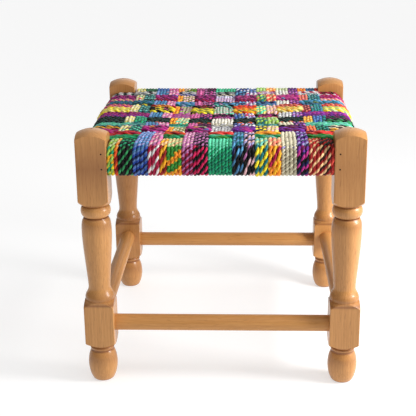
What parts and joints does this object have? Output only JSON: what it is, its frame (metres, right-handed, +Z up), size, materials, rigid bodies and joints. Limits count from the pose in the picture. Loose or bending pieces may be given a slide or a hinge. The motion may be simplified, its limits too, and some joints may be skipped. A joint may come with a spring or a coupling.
{
  "type": "woven stool",
  "caption": "Low square stool with turned wooden legs, round stretchers and a basket-woven seat of multicoloured twisted cord.",
  "frame": {"origin": "on the floor, midway between the four feet", "axes": "+Z up, +X to the sitter's right with the front facing -Y, X along the front rail"},
  "size_m": [0.416, 0.416, 0.3999],
  "materials": {
    "lacquered_wood": "satin lacquer over honey-brown hardwood",
    "bare_wood": "plain sanded wood, hidden by the weave",
    "nail_steel": "dark oxidised steel",
    "warp_band_1_cord": "twisted multicoloured cord, soft sheen",
    "warp_band_2_cord": "twisted multicoloured cord, soft sheen",
    "warp_band_3_cord": "twisted multicoloured cord, soft sheen",
    "warp_band_4_cord": "twisted multicoloured cord, soft sheen",
    "warp_band_5_cord": "twisted multicoloured cord, soft sheen",
    "warp_band_6_cord": "twisted multicoloured cord, soft sheen",
    "warp_band_7_cord": "twisted multicoloured cord, soft sheen",
    "warp_band_8_cord": "twisted multicoloured cord, soft sheen",
    "warp_band_9_cord": "twisted multicoloured cord, soft sheen",
    "weft_row_1_cord": "twisted multicoloured cord, soft sheen",
    "weft_row_2_cord": "twisted multicoloured cord, soft sheen",
    "weft_row_3_cord": "twisted multicoloured cord, soft sheen",
    "weft_row_4_cord": "twisted multicoloured cord, soft sheen",
    "weft_row_5_cord": "twisted multicoloured cord, soft sheen",
    "weft_row_6_cord": "twisted multicoloured cord, soft sheen",
    "weft_row_7_cord": "twisted multicoloured cord, soft sheen",
    "weft_row_8_cord": "twisted multicoloured cord, soft sheen",
    "weft_row_9_cord": "twisted multicoloured cord, soft sheen"
  },
  "bodies": {
    "root": {"leg_front_left": "lacquered_wood", "leg_front_right": "lacquered_wood", "leg_rear_right": "lacquered_wood", "leg_rear_left": "lacquered_wood", "stretcher_front": "lacquered_wood", "stretcher_right": "lacquered_wood", "stretcher_rear": "lacquered_wood", "stretcher_left": "lacquered_wood", "seat_rail_front": "bare_wood", "seat_rail_right": "bare_wood", "seat_rail_rear": "bare_wood", "seat_rail_left": "bare_wood", "rail_nails": "nail_steel", "warp_band_1": "warp_band_1_cord", "warp_band_2": "warp_band_2_cord", "warp_band_3": "warp_band_3_cord", "warp_band_4": "warp_band_4_cord", "warp_band_5": "warp_band_5_cord", "warp_band_6": "warp_band_6_cord", "warp_band_7": "warp_band_7_cord", "warp_band_8": "warp_band_8_cord", "warp_band_9": "warp_band_9_cord", "weft_row_1": "weft_row_1_cord", "weft_row_2": "weft_row_2_cord", "weft_row_3": "weft_row_3_cord", "weft_row_4": "weft_row_4_cord", "weft_row_5": "weft_row_5_cord", "weft_row_6": "weft_row_6_cord", "weft_row_7": "weft_row_7_cord", "weft_row_8": "weft_row_8_cord", "weft_row_9": "weft_row_9_cord"}
  },
  "joints": []
}
